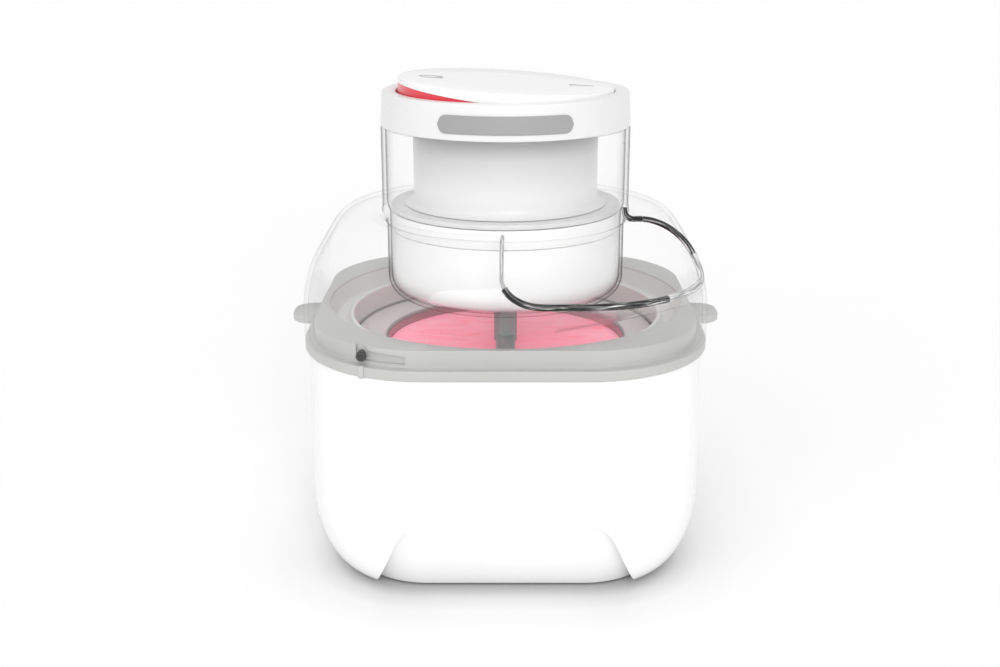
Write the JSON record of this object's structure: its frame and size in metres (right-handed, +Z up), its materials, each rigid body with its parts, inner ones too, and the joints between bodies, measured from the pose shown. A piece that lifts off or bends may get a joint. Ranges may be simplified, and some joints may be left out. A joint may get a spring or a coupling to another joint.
{
  "type": "ice cream maker",
  "caption": "Freezer-bowl ice cream maker: rounded white base, grey bowl collar, clear lid with a fill opening and a motor head with a rocker switch that turns the paddle.",
  "frame": {"origin": "on the floor, under the middle of the base", "axes": "+Z up, -Y towards the front, where the badge and the front finger recess are, +X to the right seen from the front"},
  "size_m": [0.2066, 0.185, 0.2258],
  "materials": {
    "white_plastic": "smooth, satin gloss",
    "grey_plastic": "satin",
    "pale_grey_plastic": "satin",
    "badge_grey": "satin",
    "paddle_grey": "satin",
    "dark_grey_plastic": "satin",
    "black_plastic": "matte",
    "red_plastic": "smooth",
    "clear_plastic": "clear, glossy, colourless",
    "foot_rubber": "matte",
    "seal_rubber": "matte",
    "cup_aluminium": "anodised, satin",
    "plain_steel": "plain",
    "bush_bronze": "sintered bronze, plain",
    "coolant_gel": "frozen gel",
    "gear_nylon": "natural",
    "board_green": "solder mask"
  },
  "bodies": {
    "base": {"outer_housing": "white_plastic", "base_plate": "white_plastic", "foot_front_left": "foot_rubber", "foot_front_right": "foot_rubber", "foot_back_left": "foot_rubber", "foot_back_right": "foot_rubber", "base_screw_front_left": "plain_steel", "base_screw_front_right": "plain_steel", "base_screw_back_left": "plain_steel", "base_screw_back_right": "plain_steel"},
    "bowl": {"bowl_collar": "grey_plastic", "bowl_outer_shell": "pale_grey_plastic", "bowl_inner_cup": "cup_aluminium", "coolant_fill": "coolant_gel", "bowl_seal": "seal_rubber"},
    "lid": {"lid": "clear_plastic", "latch_stud_front": "dark_grey_plastic", "latch_stud_back": "dark_grey_plastic"},
    "head": {"head_band": "white_plastic", "power_inlet": "dark_grey_plastic", "motor_housing": "white_plastic", "flange_disc": "pale_grey_plastic", "bell_upper": "white_plastic", "bell_lower": "white_plastic", "badge": "badge_grey", "gear_plate": "plain_steel", "gear_plate_screw_1": "plain_steel", "gear_plate_screw_2": "plain_steel", "gear_plate_screw_3": "plain_steel", "motor": "plain_steel", "motor_screw_1": "plain_steel", "motor_screw_2": "plain_steel", "idler_pin": "plain_steel", "shaft_bush": "bush_bronze", "circuit_board": "board_green", "switch_frame": "white_plastic", "switch_body": "black_plastic", "rocker_pin": "plain_steel"},
    "rocker": {"rocker_cap": "white_plastic", "rocker_skirt": "red_plastic"},
    "paddle": {"paddle": "paddle_grey"},
    "output": {"output_shaft": "plain_steel", "output_gear": "gear_nylon"},
    "idler": {"idler_gear": "gear_nylon"},
    "drive": {"drive_pinion": "gear_nylon", "motor_shaft": "plain_steel"}
  },
  "joints": [
    {"name": "bowl_lift", "type": "slide", "parent": "base", "child": "bowl", "axis": [0, 0, 1], "range_m": [0, 0.11]},
    {"name": "lid_lift", "type": "slide", "parent": "bowl", "child": "lid", "axis": [0, 0, 1], "range_m": [0, 0.06]},
    {"name": "head_lift", "type": "slide", "parent": "lid", "child": "head", "axis": [0, 0, 1], "range_m": [0, 0.09]},
    {"name": "rocker_tilt", "type": "hinge", "parent": "head", "child": "rocker", "pos_m": [0, 0, 0.2165], "axis": [0, 1, 0], "range_deg": [-6.7, 0]},
    {"name": "paddle_spin", "type": "hinge", "parent": "bowl", "child": "paddle", "pos_m": [0, 0, 0.1], "axis": [0, 0, 1], "continuous": true},
    {"name": "output_spin", "type": "hinge", "parent": "head", "child": "output", "pos_m": [0, 0, 0.13], "axis": [0, 0, 1], "continuous": true},
    {"name": "idler_spin", "type": "hinge", "parent": "head", "child": "idler", "pos_m": [0, 0.0216, 0.138], "axis": [0, 0, 1], "continuous": true},
    {"name": "drive_spin", "type": "hinge", "parent": "head", "child": "drive", "pos_m": [0, 0, 0.14], "axis": [0, 0, 1], "continuous": true}
  ],
  "couplings": [
    {"joint": "output_spin", "follows": "paddle_spin", "ratio": 1},
    {"joint": "idler_spin", "follows": "paddle_spin", "ratio": -2.8571},
    {"joint": "drive_spin", "follows": "paddle_spin", "ratio": 8.1633}
  ]
}
